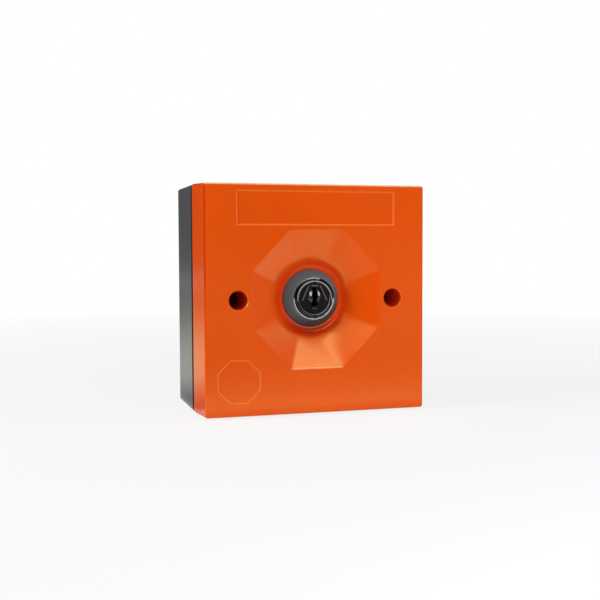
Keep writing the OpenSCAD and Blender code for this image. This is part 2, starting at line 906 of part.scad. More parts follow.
// Sprung brass wafers, drawn in as they are with the key in
module wafers() {
    color("#C9A24B") upright()
        for (i = [0 : wafer_count - 1])
            translate([0, 0, wafer_z(i)])
                difference() {
                    intersection() {
                        cylinder(r = plug_d / 2 - run_gap, h = wafer_t);
                        translate([-wafer_w / 2, -plug_d, 0])
                            cube([wafer_w, 2 * plug_d, wafer_t]);
                    }
                    translate([-wafer_window_w / 2, key_slot_y - wafer_window_h / 2, -eps])
                        cube([wafer_window_w, wafer_window_h, wafer_t + 2 * eps]);
                }
}

// Cam radius at an angle from the plunger: a straight rise over the key's quarter turn, a short
// dwell, then a quick fall to the low radius, twice round.
cam_dwell = 14;
cam_fall_end = 150;
function cam_radius(angle) =
    let (a = angle % (2 * quarter), high = cam_low_r + cam_rise)
        a <= quarter ? cam_low_r + cam_rise * a / quarter
        : a <= quarter + cam_dwell ? high
        : a <= cam_fall_end
            ? high - cam_rise * (a - quarter - cam_dwell) / (cam_fall_end - quarter - cam_dwell)
        : cam_low_r;

module cam() {
    cam_step = 5;
    color("#D8D4C8") upright()
        translate([0, 0, cam_z]) {
            difference() {
                linear_extrude(height = cam_t)
                    polygon([
                        for (a = [0 : cam_step : 4 * quarter - cam_step]) cam_radius(a) * [cos(a), sin(a)]
                    ]);
                translate([-tail_w / 2 - run_gap, -tail_w / 2 - run_gap, -eps])
                    cube([tail_w + 2 * run_gap, tail_w + 2 * run_gap, cam_t + 2 * eps]);
            }
            translate([0, 0, cam_t / 2])
                rotate([0, 0, quarter - lug_w / 2])
                    rotate_extrude(angle = lug_w)
                        translate([plug_d / 2 + 2 * run_gap, 0])
                            square([cam_low_r - plug_d / 2 - 2 * run_gap, cam_t / 2 + cam_gap + lug_h]);
        }
}

module cam_washer() {
    color("#B4B6BA") upright()
        translate([0, 0, cam_z - washer_t])
            difference() {
                cylinder(r = tail_w / 2 + 1.2, h = washer_t);
                translate([0, 0, -eps])
                    cylinder(r = board_shank_r + run_gap, h = washer_t + 2 * eps);
            }
}

module cam_screw() {
    color("#B9BBBE") upright()
        translate([0, 0, cam_z - washer_t])
            mirror([0, 0, 1])
                slotted_screw(board_shank_r, tail_l + washer_t / 2, board_head_r, board_head_h);
}

// ---- Switches ----

// The left switch is the right one turned half round the lock's axis
module both_switches() {
    children();
    rotate([0, 0, 2 * quarter])
        children();
}

module case_outline(z, h) {
    translate([case_x, -case_l / 2, z])
        cube([case_h, case_l, h]);
}

module case_holes(r, z, h) {
    mirrored([0, 1, 0])
        translate([case_hole_x, case_hole_pitch / 2, z])
            cylinder(r = r, h = h);
}

module strip_slots() {
    mirrored([0, 1, 0])
        for (z = strip_levels())
            translate([spring_end_x - eps, strip_y - seat_gap, z - seat_gap])
                cube([case_wall + 2 * eps, strip_t + 2 * seat_gap, strip_w + 2 * seat_gap]);
}

function strip_levels() = [
    switch_z + case_wall + strip_margin,
    switch_z + case_t - case_wall - strip_margin - strip_w
];

module switch_cases() {
    color("#26272A") upright()
        both_switches()
            difference() {
                union() {
                    difference() {
                        case_outline(switch_z, case_t - case_wall);
                        translate([case_x + case_wall, -case_l / 2 + case_wall, switch_z + case_wall])
                            cube([case_h - 2 * case_wall, case_l - 2 * case_wall, case_t]);
                    }
                    case_holes(case_boss_r, switch_z, case_t - case_wall);
                }
                case_holes(switch_shank_r + seat_gap, switch_z - eps, case_t + 2 * eps);
                translate([case_x - eps, -plunger_w / 2 - seat_gap, case_mid_z - plunger_t / 2 - seat_gap])
                    cube([case_wall + 2 * eps, plunger_w + 2 * seat_gap, plunger_t + 2 * seat_gap]);
                strip_slots();
            }
}

module switch_lids() {
    color("#3A3C40") upright()
        both_switches()
            difference() {
                case_outline(switch_z + case_t - case_wall, case_wall);
                case_holes(switch_shank_r + seat_gap, switch_z - eps, case_t + 2 * eps);
            }
}

// A fixed contact: a blanked strip along the case's end, with a leg down to the board and a
// tab turned in towards the bridge that carries the silver rivet.
module fixed_contact(z, tab_x, rivet_x, leg_x) {
    translate([tab_x, strip_y, z])
        cube([leg_x + leg_w - tab_x, strip_t, strip_w]);
    translate([leg_x, strip_y, board_z - leg_below])
        cube([leg_w, strip_t, z + strip_w - board_z + leg_below]);
    translate([tab_x, strip_y - strip_in, z])
        cube([strip_t, strip_in + strip_t, strip_w]);
    translate([rivet_x, strip_y - strip_in + rivet_inset, z + strip_w / 2])
        rotate([0, quarter, 0])
            cylinder(r = rivet_r, h = rivet_h);
}

module switch_contacts() {
    levels = strip_levels();
    closed_x = bridge_x - cam_gap - rivet_h;
    open_x = bridge_x + bridge_t + cam_rise + cam_gap;
    color("#C0884A") upright()
        both_switches()
            mirrored([0, 1, 0]) {
                fixed_contact(levels[1], closed_x - strip_t, closed_x, near_leg + leg_out);
                fixed_contact(levels[0], open_x + rivet_h, open_x, near_leg);
            }
}

module switch_screws() {
    color("#B9BBBE") upright()
        both_switches()
            mirrored([0, 1, 0])
                translate([case_hole_x, case_hole_pitch / 2, switch_z + case_t])
                    slotted_screw(
                        switch_shank_r, case_t + board_t + switch_nut_h, switch_head_r, switch_head_h
                    );
}

module switch_nuts() {
    color("#C2C4C8") upright()
        both_switches()
            mirrored([0, 1, 0])
                translate([case_hole_x, case_hole_pitch / 2, board_z - switch_nut_h])
                    difference() {
                        cylinder(r = switch_nut_af / 2 / cos(2 * quarter / 6), h = switch_nut_h, $fn = 6);
                        translate([0, 0, -eps])
                            cylinder(r = switch_shank_r + run_gap, h = switch_nut_h + 2 * eps);
                    }
}

// The plunger has a round nose on the cam, a collar that keeps it in the case and a peg for its spring
module plunger() {
    nose_r = plunger_w / 2;
    color("#E9E6DC") upright() {
        translate([plunger_tip_x + nose_r, 0, case_mid_z - plunger_t / 2])
            cylinder(r = nose_r, h = plunger_t);
        translate([plunger_tip_x + nose_r, -plunger_w / 2, case_mid_z - plunger_t / 2])
            cube([flange_x - plunger_tip_x - nose_r + flange_t / 2, plunger_w, plunger_t]);
        translate([flange_x, -plunger_w / 2 - flange_step, case_mid_z - plunger_t / 2 - flange_step])
            cube([flange_t, plunger_w + 2 * flange_step, plunger_t + 2 * flange_step]);
        translate([flange_x, 0, case_mid_z])
            rotate([0, quarter, 0])
                cylinder(r = peg_r, h = flange_t + peg_l);
    }
}

// The moving contact: a copper bridge on the plunger's peg with a rivet at each end
module bridge() {
    color("#C0884A") upright()
        difference() {
            translate([bridge_x, -bridge_l / 2, case_mid_z - bridge_w / 2])
                cube([bridge_t, bridge_l, bridge_w]);
            translate([bridge_x - eps, 0, case_mid_z])
                rotate([0, quarter, 0])
                    cylinder(r = peg_r + run_gap, h = bridge_t + 2 * eps);
        }
}

// Coil spring from the bridge to the case's end wall, as a six-sided wire swept round a helix
module coil() {
    sides = 6;
    per_coil = 14;
    steps = spring_coils * per_coil;
    length = spring_end_x - spring_x - 2 * wire_r;
    color("#B9BBBE") upright()
        translate([spring_x + wire_r, 0, case_mid_z])
            rotate([0, quarter, 0])
                loft([
                    for (s = [0 : steps])
                        let (a = 4 * quarter * s / per_coil, z = length * s / steps)
                            [
                                for (k = [0 : sides - 1])
                                    let (b = -4 * quarter * k / sides, r = spring_r + wire_r * cos(b))
                                        [r * cos(a), r * sin(a), z + wire_r * sin(b)]
                            ]
                ]);
}

// Half a turn round the lock's axis, on pieces that already stand upright
module left_side() {
    rotate([0, 2 * quarter, 0])
        children();
}

module plunger_right() {
    plunger();
}

module bridge_right() {
    bridge();
}

module spring_right() {
    coil();
}

module plunger_left() {
    left_side()
        plunger();
}

module bridge_left() {
    left_side()
        bridge();
}

module spring_left() {
    left_side()
        coil();
}

// ---- Board and terminals ----

module circuit_board() {
    color("#2F6B3A") upright()
        translate([0, 0, board_z])
            difference() {
                linear_extrude(height = board_t)
                    polygon(rounded_rect(board_w, board_h, board_corner_r));
                translate([0, 0, -eps]) {
                    cylinder(r = centre_hole_r, h = board_t + 2 * eps);
                    at_corners(post_x, post_y)
                        cylinder(r = board_shank_r + seat_gap, h = board_t + 2 * eps);
                    both_switches() {
                        case_holes(switch_shank_r + seat_gap, 0, board_t + 2 * eps);
                        mirrored([0, 1, 0])
                            for (x = [near_leg, near_leg + leg_out])
                                translate([x + leg_w / 2, strip_y + strip_t / 2, 0])
                                    cylinder(r = leg_hole_r, h = board_t + 2 * eps);
                    }
                    for (i = [0 : terminal_ways - 1])
                        translate([way_x(i), terminal_pin_y, 0])
                            cylinder(r = leg_hole_r, h = board_t + 2 * eps);
                    mirrored([1, 0, 0])
                        translate([resistor_span / 2, resistor_y, 0])
                            cylinder(r = leg_hole_r, h = board_t + 2 * eps);
                }
            }
}

module board_screws() {
    color("#B9BBBE") upright()
        at_corners(post_x, post_y)
            translate([0, 0, board_z])
                mirror([0, 0, 1])
                    slotted_screw(board_shank_r, board_screw_l, board_head_r, board_head_h);
}

// Axial resistor behind the board, with leads bent down into it
module alarm_resistor() {
    lead_z = board_z - resistor_r - seat_gap;
    color("#C8B48A") upright()
        translate([0, resistor_y, 0]) {
            translate([-resistor_l / 2, 0, lead_z])
                rotate([0, quarter, 0])
                    cylinder(r = resistor_r, h = resistor_l);
            translate([-resistor_span / 2, 0, lead_z])
                rotate([0, quarter, 0])
                    cylinder(r = lead_r, h = resistor_span);
            mirrored([1, 0, 0])
                translate([resistor_span / 2, 0, lead_z - lead_r])
                    cylinder(r = lead_r, h = board_z + board_t - lead_z + lead_r);
        }
}

terminal_w = terminal_ways * terminal_pitch + 1;
terminal_pin_y = terminal_y + terminal_h - pin_inset;
clamp_z = terminal_z + clamp_sink;
function way_x(i) = (i - (terminal_ways - 1) / 2) * terminal_pitch;

module terminal_housing() {
    color("#5B8C5A") upright()
        difference() {
            translate([-terminal_w / 2, terminal_y, terminal_z])
                cube([terminal_w, terminal_h, terminal_depth]);
            for (i = [0 : terminal_ways - 1])
                translate([way_x(i), 0, 0]) {
                    translate([-chamber_w / 2, terminal_y - eps, clamp_z - seat_gap])
                        cube([chamber_w, terminal_h - 1 + eps, clamp_t + 2 * seat_gap]);
                    translate([0, terminal_y + terminal_h / 2, terminal_z - eps])
                        cylinder(r = terminal_head_r + seat_gap, h = clamp_z - terminal_z + eps);
                    translate([-pin_w / 2 - seat_gap, terminal_pin_y - pin_w / 2 - seat_gap, clamp_z])
                        cube([pin_w + 2 * seat_gap, pin_w + 2 * seat_gap, terminal_depth]);
                }
        }
}

module terminal_clamps() {
    color("#C9A24B") upright()
        for (i = [0 : terminal_ways - 1])
            translate([way_x(i) - clamp_w / 2, terminal_y + terminal_h / 2 - clamp_h / 2, clamp_z])
                difference() {
                    cube([clamp_w, clamp_h, clamp_t]);
                    translate([clamp_w / 2, -eps, clamp_t / 2 + wire_hole_lift])
                        rotate([-quarter, 0, 0])
                            cylinder(r = wire_hole_r, h = clamp_h + 2 * eps);
                    translate([clamp_w / 2, clamp_h / 2, -eps])
                        cylinder(r = terminal_shank_r + run_gap, h = clamp_t / 2 + eps);
                }
}

module terminal_screws() {
    color("#B9BBBE") upright()
        for (i = [0 : terminal_ways - 1])
            translate([way_x(i), terminal_y + terminal_h / 2, clamp_z])
                mirror([0, 0, 1])
                    slotted_screw(
                    terminal_shank_r, clamp_t / 2 - wire_hole_r + clamp_bite, terminal_head_r, terminal_head_h
                );
}

// Square pins that join the clamps to the board
module terminal_pins() {
    color("#C9A24B") upright()
        for (i = [0 : terminal_ways - 1])
            translate([way_x(i) - pin_w / 2, terminal_pin_y - pin_w / 2, clamp_z + clamp_t])
                cube([pin_w, pin_w, board_z + board_t + leg_below - clamp_z - clamp_t]);
}

back_box();
front_plate();
plate_screws();
screw_inserts();
earth_terminal();
earth_screw();
lock_collar();
lock_body();
lock_washer();
lock_nut();
lock_plug();
wafers();
cam();
cam_washer();
cam_screw();
circuit_board();
board_screws();
alarm_resistor();
switch_cases();
switch_lids();
switch_contacts();
switch_screws();
switch_nuts();
plunger_left();
bridge_left();
spring_left();
plunger_right();
bridge_right();
spring_right();
terminal_housing();
terminal_clamps();
terminal_screws();
terminal_pins();
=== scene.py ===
from math import atan2, cos, degrees, pi, radians, sin

import bmesh
import bpy
from mathutils import Matrix, Vector


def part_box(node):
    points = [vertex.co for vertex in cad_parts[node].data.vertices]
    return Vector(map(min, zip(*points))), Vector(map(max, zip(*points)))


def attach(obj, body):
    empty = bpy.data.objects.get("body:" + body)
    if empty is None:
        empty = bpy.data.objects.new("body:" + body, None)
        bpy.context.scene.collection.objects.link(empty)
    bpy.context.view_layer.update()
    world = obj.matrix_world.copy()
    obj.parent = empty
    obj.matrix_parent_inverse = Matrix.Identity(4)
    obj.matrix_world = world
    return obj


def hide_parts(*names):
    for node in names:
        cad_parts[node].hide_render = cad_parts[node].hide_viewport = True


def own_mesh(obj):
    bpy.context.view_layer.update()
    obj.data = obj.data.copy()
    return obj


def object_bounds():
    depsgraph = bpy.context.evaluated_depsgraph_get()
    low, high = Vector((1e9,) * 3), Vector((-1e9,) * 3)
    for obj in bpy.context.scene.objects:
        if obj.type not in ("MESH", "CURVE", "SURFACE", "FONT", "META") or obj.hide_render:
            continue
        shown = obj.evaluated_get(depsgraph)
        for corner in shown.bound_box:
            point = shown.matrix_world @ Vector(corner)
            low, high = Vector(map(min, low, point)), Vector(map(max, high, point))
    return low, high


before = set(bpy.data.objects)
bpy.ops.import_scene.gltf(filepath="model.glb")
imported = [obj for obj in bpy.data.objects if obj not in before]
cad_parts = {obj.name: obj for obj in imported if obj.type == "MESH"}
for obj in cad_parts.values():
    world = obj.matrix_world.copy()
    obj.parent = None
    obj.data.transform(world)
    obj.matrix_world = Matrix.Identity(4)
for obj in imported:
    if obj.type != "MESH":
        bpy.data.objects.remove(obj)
cad_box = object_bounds()
bpy.ops.object.select_all(action="DESELECT")


# ---- Camera ----
# It stands a little to the left of the call point and just above its middle, close enough for
# the near edge of the plate to look taller than the far one.

MM = 0.001


def look_from(yaw, pitch, roll, distance, target):
    """Where a camera stands that looks at the target: yaw is counted from straight in front to the
    right, and pitch from level upwards."""
    back = Vector((sin(yaw) * cos(pitch), -cos(yaw) * cos(pitch), sin(pitch)))
    turn = back.to_track_quat("Z", "Y").to_matrix().to_4x4()
    stand = Matrix.Translation(Vector(target) + back * distance)
    return stand @ turn @ Matrix.Rotation(roll, 4, "Z")


bpy.ops.object.camera_add()
camera = bpy.context.object
camera.name = "camera"
camera.data.lens = 56.67
camera.data.sensor_width = 36
camera.data.shift_x = -0.00233
camera.matrix_world = look_from(
    yaw=radians(-16.6),
    pitch=radians(3.06),
    roll=radians(-0.22),
    distance=382.1 * MM,
    target=(2.7 * MM, -22 * MM, -1.87 * MM),
)
bpy.context.scene.camera = camera
bpy.context.scene.view_settings.view_transform = "Standard"


# ---- Table top ----
# A wide board, painted matt white, on which the call point stands on its lower edge. It glows to
# the camera, least near the call point, so that it runs into the white room and keeps a shadow.

class Shade:
    """A socket of a material. Sums and products of it add Math nodes, and node() adds any other."""

    def __init__(self, tree, socket=None):
        self.tree = tree
        self.socket = socket

    def node(self, kind, settings=None, sockets=None, output=0):
        made = self.tree.nodes.new("ShaderNode" + kind)
        for name, value in (settings or {}).items():
            setattr(made, name, value)
        for key, value in (sockets or {}).items():
            self.connect(made.inputs[key], value)
        return Shade(self.tree, made.outputs[output])

    def connect(self, entry, value):
        if isinstance(value, Shade):
            self.tree.links.new(value.socket, entry)
        elif entry.type == "RGBA":
            entry.default_value = (*value, 1)
        else:
            entry.default_value = value

    def math(self, operation, first, second=0.0):
        return self.node("Math", {"operation": operation}, {0: first, 1: second})

    def __add__(self, other):
        return self.math("ADD", self, other)

    def __radd__(self, other):
        return self.math("ADD", other, self)

    def __sub__(self, other):
        return self.math("SUBTRACT", self, other)

    def __rsub__(self, other):
        return self.math("SUBTRACT", other, self)

    def __mul__(self, other):
        return self.math("MULTIPLY", self, other)

    def __rmul__(self, other):
        return self.math("MULTIPLY", other, self)

    def __neg__(self):
        return -1.0 * self

    def __abs__(self):
        return self.math("ABSOLUTE", self)

    def lesser(self, other):
        return self.math("MINIMUM", self, other)

    def greater(self, other):
        return self.math("MAXIMUM", self, other)

    def along(self, axis):
        """This place's coordinate along X, Y or Z."""
        return self.node("SeparateXYZ", None, {0: self}, output=axis)

    def length(self):
        """How far this place is from the origin."""
        return self.node("VectorMath", {"operation": "LENGTH"}, {0: self}, output="Value")

    def from_axis(self):
        """How far this place is from the lock's axis."""
        return self.node("VectorMath", {"operation": "MULTIPLY"}, {0: self, 1: (1, 0, 1)}).length()

    def between(self, low, high):
        """The colour low where this is 0 and high where it is 1."""
        return self.node("Mix", {"data_type": "RGBA"}, {0: self, 6: low, 7: high}, output=2)

    def rise(self, start, end):
        """0 below start and 1 above end, with an even rise between them."""
        return self.node("MapRange", None, {0: self, 1: start, 2: end})

    def near(self, value, core, fade):
        """1 within core of the value and 0 past fade."""
        return 1 - abs(self - value).rise(core, fade)

    def ray(self, kind):
        """1 for this kind of ray and 0 for all others."""
        return self.node("LightPath", output=f"Is {kind} Ray")

    def noise(self, size, detail=3.0, roughness=0.55):
        """Noise whose features are about `size` long, read at this place."""
        return self.node("TexNoise", None, {
            "Vector": self,
            "Scale": 1 / size,
            "Detail": detail,
            "Roughness": roughness,
        })

    def waves(self, direction, scale, distortion=0.0):
        """Even waves from 0 to 1 along X, Y or Z, read at this place."""
        return self.node("TexWave", {"bands_direction": direction}, {
            "Vector": self,
            "Scale": scale,
            "Distortion": distortion,
        }, output="Fac")

    def relief(self, strength, depth):
        """The normal of a surface whose relief this is, about `depth` deep."""
        return self.node("Bump", None, {"Strength": strength, "Distance": depth, "Height": self})


def start_material(name):
    """A new material, and the place on its surface in the object's own coordinates."""
    made = bpy.data.materials.new(name)
    made.use_nodes = True
    return made, Shade(made.node_tree).node("TexCoord", output="Object")


def surface(made, sockets):
    """Fills the sockets of the material's main shader."""
    shader = made.node_tree.nodes["Principled BSDF"]
    for name, value in sockets.items():
        Shade(made.node_tree).connect(shader.inputs[name], value)


floor_z = cad_box[0].z
bpy.ops.mesh.primitive_plane_add(size=8, location=(0, 0, floor_z))
floor = bpy.context.object
floor.name = "table_top"
bpy.ops.object.transform_apply(location=True, rotation=True, scale=True)
board_paint, place = start_material("board_paint")
speck = place.noise(3 * MM).between((0.79, 0.79, 0.79), (0.82, 0.82, 0.82))
surface(board_paint, {"Base Color": speck, "Roughness": 0.8, "Specular IOR Level": 0.1})
least_glow = 0.82
mirrored_glow = 0.15
far = place.length().rise(120 * MM, 600 * MM)
mirrored = place.ray("Glossy") + place.ray("Transmission")
glowing = (least_glow + (1 - least_glow) * far) * place.ray("Camera") + mirrored_glow * mirrored
glow = place.node("Emission", None, {"Color": (1, 1, 1), "Strength": 1.0})
board_nodes = board_paint.node_tree.nodes
painted = Shade(board_paint.node_tree, board_nodes["Principled BSDF"].outputs[0])
mixed = place.node("MixShader", None, {0: glowing, 1: painted, 2: glow})
mixed.connect(board_nodes["Material Output"].inputs["Surface"], mixed)
floor.data.materials.append(board_paint)


# ---- Room and lamps ----
# A dim white room, which looks fully white to the camera and in reflections. A bright strip hangs
# above, a soft lamp is in front and one stands at each side. A low one, too dim to be seen in the
# gloss, lights the dish from below.

world = bpy.data.worlds.new("white_room")
bpy.context.scene.world = world
world.use_nodes = True
room = Shade(world.node_tree)
seen = room.ray("Camera") + room.ray("Glossy") + room.ray("Transmission")
walls = world.node_tree.nodes["Background"]
walls.inputs["Color"].default_value = (1, 1, 1, 1)
room_light = 0.20
room.connect(walls.inputs["Strength"], room_light + (1 - room_light) * seen)


def soft_lamp(name, stand, width, height, brightness):
    """A rectangular lamp, in metres, that points at the call point. Its brightness is 1 where it
    is as bright as the white room."""
    bpy.ops.object.light_add(type="AREA", location=stand)
    lamp = bpy.context.object
    lamp.name = name
    lamp.data.shape = "RECTANGLE"
    lamp.data.size = width
    lamp.data.size_y = height
    lamp.data.energy = brightness * pi * width * height
    lamp.rotation_euler = Vector(stand).to_track_quat("Z", "Y").to_euler()
    lamp.visible_camera = False


soft_lamp("top_lamp", (0.06, -0.44, 0.42), width=0.50, height=0.10, brightness=4.2)
soft_lamp("front_lamp", (0.00, -0.55, 0.26), width=0.50, height=0.20, brightness=1.0)
soft_lamp("left_lamp", (-0.62, -0.10, 0.30), width=0.30, height=0.30, brightness=11.0)
soft_lamp("right_lamp", (0.52, -0.15, 0.34), width=0.14, height=0.30, brightness=2.4)
soft_lamp("low_lamp", (0.08, -0.22, -0.02), width=0.30, height=0.06, brightness=2.1)
bpy.context.object.visible_glossy = False


# ---- Screens and cards ----
# Only reflections see these. Two curved screens of black cloth, round the front and at the left
# behind, keep the polished face dark. A card at the left behind, warm along its outer side, and
# a bright one in front are mirrored in the plate's sides and in the dish.

def only_mirrored(stand_in, paint):
    """The screen or card gets its paint and is left to reflections alone."""
    stand_in.visible_camera = False
    stand_in.visible_diffuse = False
    stand_in.visible_shadow = False
    stand_in.data.materials.append(paint)


def screen(name, radius, start, end, low, high):
    """A curved screen, in metres, round the call point between two heights and two bearings, which
    are in degrees from straight in front to the right."""
    bpy.ops.mesh.primitive_cylinder_add(
        vertices=120,
        radius=radius,
        depth=high - low,
        end_fill_type="NOTHING",
        location=(0, 0, (low + high) / 2),
    )
    cloth = bpy.context.object
    cloth.name = name
    bpy.ops.object.mode_set(mode="EDIT")
    bpy.ops.mesh.select_mode(type="FACE")
    bpy.ops.mesh.select_all(action="DESELECT")
    mesh = bmesh.from_edit_mesh(cloth.data)
    for face in mesh.faces:
        middle = face.calc_center_median()
        bearing = degrees(atan2(middle.x, -middle.y))
        face.select_set(not start < bearing < end)
    bmesh.update_edit_mesh(cloth.data)
    bpy.ops.mesh.delete(type="FACE")
    bpy.ops.object.mode_set(mode="OBJECT")
    bpy.ops.object.transform_apply(location=True, rotation=True, scale=True)
    only_mirrored(cloth, black_cloth)


black_cloth, place = start_material("black_cloth")
paler = place.along("X").rise(20 * MM, 120 * MM)
weave = place.noise(4 * MM)
surface(black_cloth, {
    "Base Color": (0.45 * paler + 0.02 * weave).between((0.02, 0.02, 0.02), (1, 1, 1)),
    "Roughness": 0.9,
    "Specular IOR Level": 0.1,
})
screen("front_screen", radius=0.16, start=-110, end=98, low=floor_z, high=0.06)
screen("rear_screen", radius=0.60, start=-179, end=-105, low=-0.005, high=0.35)


def card(name, left, right, front, back, paint):
    """A flat card, in metres, that lies on the table top."""
    middle = ((left + right) / 2, (front + back) / 2, floor_z + 0.2 * MM)
    bpy.ops.mesh.primitive_plane_add(size=1, location=middle)
    sheet = bpy.context.object
    sheet.name = name
    sheet.scale = (right - left, back - front, 1)
    bpy.ops.object.transform_apply(location=True, rotation=True, scale=True)
    only_mirrored(sheet, paint)


grey_card, place = start_material("grey_card")
back = place.along("Y")
warm = (-place.along("X") - 0.22 * back).rise(53 * MM, 61 * MM)
fade_in = 0.1 + 0.9 * back.rise(-10 * MM, 70 * MM)
fade_out = 1 - 0.8 * back.rise(150 * MM, 600 * MM)
pale = fade_in * fade_out + 0.05 * place.noise(3 * MM)
card_colour = warm.between((0.90, 0.90, 0.90), (0.90, 0.84, 0.36))
card_glow = warm.between((1, 1, 1), (1, 0.94, 0.40))
surface(grey_card, {
    "Base Color": pale.between((0.04, 0.04, 0.04), card_colour),
    "Emission Color": pale.between((0, 0, 0), card_glow),
    "Emission Strength": 0.15,
    "Roughness": 0.9,
    "Specular IOR Level": 0.1,
})
card("grey_card", left=-1.2, right=-0.046, front=-0.03, back=1.2, paint=grey_card)

bright_card, place = start_material("bright_card")
grain = place.noise(3 * MM).between((0.80, 0.80, 0.80), (0.84, 0.84, 0.84))
surface(bright_card, {
    "Base Color": grain,
    "Roughness": 0.9,
    "Emission Color": (1, 1, 1),
    "Emission Strength": 0.8,
})
card("bright_card", left=-0.14, right=0.14, front=-0.095, back=-0.070, paint=bright_card)


# ---- Back box ----
# A square tray of dark grey ABS, moulded in one with its two pillars, earth post and the ring
# grooves of its knock-outs. The tool was spark eroded, so its outside is satin, not shiny. The
# rebate behind the plate is painted near black as shade.

def joined_copy(node, name):
    """A copy of a CAD node, left selected, with its loose triangles joined into whole faces."""
    bpy.ops.object.select_all(action="DESELECT")
    piece = bpy.data.objects.new(name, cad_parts[node].data.copy())
    bpy.context.collection.objects.link(piece)
    piece.select_set(True)
    bpy.context.view_layer.objects.active = piece
    piece.data.materials.clear()
    bpy.ops.mesh.customdata_custom_splitnormals_clear()
    bpy.ops.object.mode_set(mode="EDIT")
    bpy.ops.mesh.select_all(action="SELECT")
    bpy.ops.mesh.remove_doubles(threshold=0.002 * MM)
    bpy.ops.mesh.dissolve_limited(angle_limit=radians(0.3))
    bpy.ops.object.mode_set(mode="OBJECT")
    return piece


def round_edges(piece, width, chosen, sharpest=25):
    """Rounds the sharp edges that chosen() accepts from their two ends, given in millimetres."""
    bpy.ops.object.mode_set(mode="EDIT")
    bpy.ops.mesh.select_mode(type="EDGE")
    bpy.ops.mesh.select_all(action="DESELECT")
    mesh = bmesh.from_edit_mesh(piece.data)
    for edge in mesh.edges:
        if len(edge.link_faces) == 2 and edge.calc_face_angle() > radians(sharpest):
            edge.select_set(chosen(*(end.co / MM for end in edge.verts)))
    bmesh.update_edit_mesh(piece.data)
    bpy.ops.mesh.bevel(offset=width, segments=2, affect="EDGES", clamp_overlap=False)
    bpy.ops.object.mode_set(mode="OBJECT")


def shade_evenly(piece, angle=30, flat=lambda spot: True):
    """Smooth shading across gentle edges. Where flat() accepts a spot, given in millimetres, large
    faces keep their own direction right up to their rounded edges."""
    bpy.ops.object.shade_smooth_by_angle(angle=radians(angle))
    group = piece.vertex_groups.new(name="flat")
    group.add([v.index for v in piece.data.vertices if flat(v.co / MM)], 1, "REPLACE")
    even = piece.modifiers.new("even", "WEIGHTED_NORMAL")
    even.keep_sharp = True
    even.vertex_group = "flat"
    bpy.ops.object.modifier_apply(modifier="even")
    piece.vertex_groups.clear()


def stands_for(piece, body, slot, made, *nodes):
    """The finished piece gets its material, replaces CAD nodes and rides with their body."""
    piece.data.materials.append(made)
    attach(piece, body)
    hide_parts(*nodes)


box = joined_copy("back_box", "box")
box_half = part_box("back_box")[1].x / MM


def at_rear_rim(spot):
    """On the box's outline and less than a millimetre from the wall."""
    return max(abs(spot.x), abs(spot.z)) > box_half - 1 and spot.y > -1


round_edges(box, 0.25 * MM, lambda a, b: at_rear_rim(a) and at_rear_rim(b))
shade_evenly(box)

grey_abs, place = start_material("grey_abs")
cloud = place.noise(18 * MM)
spark = place.noise(0.35 * MM, detail=4, roughness=0.7)
# Painted shade: the rebate behind the plate is painted near black.
rebate_shade = (-place.along("Y")).rise(29.3 * MM, 29.5 * MM)
mottle = (0.6 * cloud + 0.4 * spark).rise(0.3, 0.7)
grey = mottle.between((0.086, 0.087, 0.104), (0.097, 0.098, 0.116))
surface(grey_abs, {
    "Base Color": (0.9 * rebate_shade).between(grey, (0.008, 0.008, 0.008)),
    "Roughness": 0.30 + 0.06 * cloud + 0.04 * spark + 0.4 * rebate_shade,
    "Specular IOR Level": 1.0,
    "Coat Weight": 0.5 - 0.5 * rebate_shade,
    "Coat Roughness": 0.25,
    "Normal": spark.relief(strength=0.10, depth=0.02 * MM),
})
stands_for(box, "station", "grey_abs", grey_abs, "back_box")


# ---- Inserts and earth terminal ----
# Turned brass: two knurled inserts pressed warm into the pillars, and a cross-drilled post for
# the cable's earth core. Fine lathe rings run round them, and handling has dulled the metal.

def dress(made, *nodes):
    """CAD nodes whose shape is already right get their material."""
    for node in nodes:
        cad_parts[node].data.materials.clear()
        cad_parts[node].data.materials.append(made)


brass, place = start_material("turned_brass")
tarnish = place.noise(5 * MM).rise(0.35, 0.7)
lathe = place.waves("Y", scale=900, distortion=1.5)
surface(brass, {
    "Base Color": tarnish.between((0.62, 0.44, 0.16), (0.50, 0.34, 0.13)),
    "Metallic": 1.0,
    "Roughness": 0.26 + 0.14 * tarnish + 0.05 * lathe,
    "Normal": lathe.relief(strength=0.15, depth=0.01 * MM),
})
dress(brass, "screw_inserts", "earth_terminal")

zinc, place = start_material("zinc_plate")
bloom = place.noise(3 * MM).rise(0.35, 0.7)
grain = place.noise(0.2 * MM)
surface(zinc, {
    "Base Color": bloom.between((0.62, 0.63, 0.65), (0.50, 0.52, 0.56)),
    "Metallic": 1.0,
    "Roughness": 0.24 + 0.12 * bloom + 0.06 * grain,
    "Normal": grain.relief(strength=0.12, depth=0.01 * MM),
})
dress(zinc, "earth_screw")


# ---- Front plate ----
# One glossy moulding of orange ABS with drafted sides, coloured right through, with a dish, a
# label recess and an octagon mark sunk in its face. Painted highlights lie along the outlines, the
# top edge and the dish's lower rim, and painted shade deepens the moat's red and the left edge.

plate = joined_copy("front_plate", "plate")
face_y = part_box("front_plate")[0].y / MM

# The label recess and the octagon mark, in millimetres.
label_half_width = 30.65
label_half_height = 6.3
label_z = 33.9
mark_half_width = 8.1
mark_x = -30
mark_z = -30


def round_recess(spot):
    """On the face, and in or within a millimetre round the label recess or the octagon mark."""
    over_label = max(abs(spot.x) - label_half_width, abs(spot.z - label_z) - label_half_height)
    over_mark = max(abs(spot.x - mark_x), abs(spot.z - mark_z)) - mark_half_width
    return abs(spot.y - face_y) < 0.02 and min(over_label, over_mark) < 1


round_edges(plate, 0.20 * MM, lambda a, b: round_recess(a) and round_recess(b), sharpest=35)


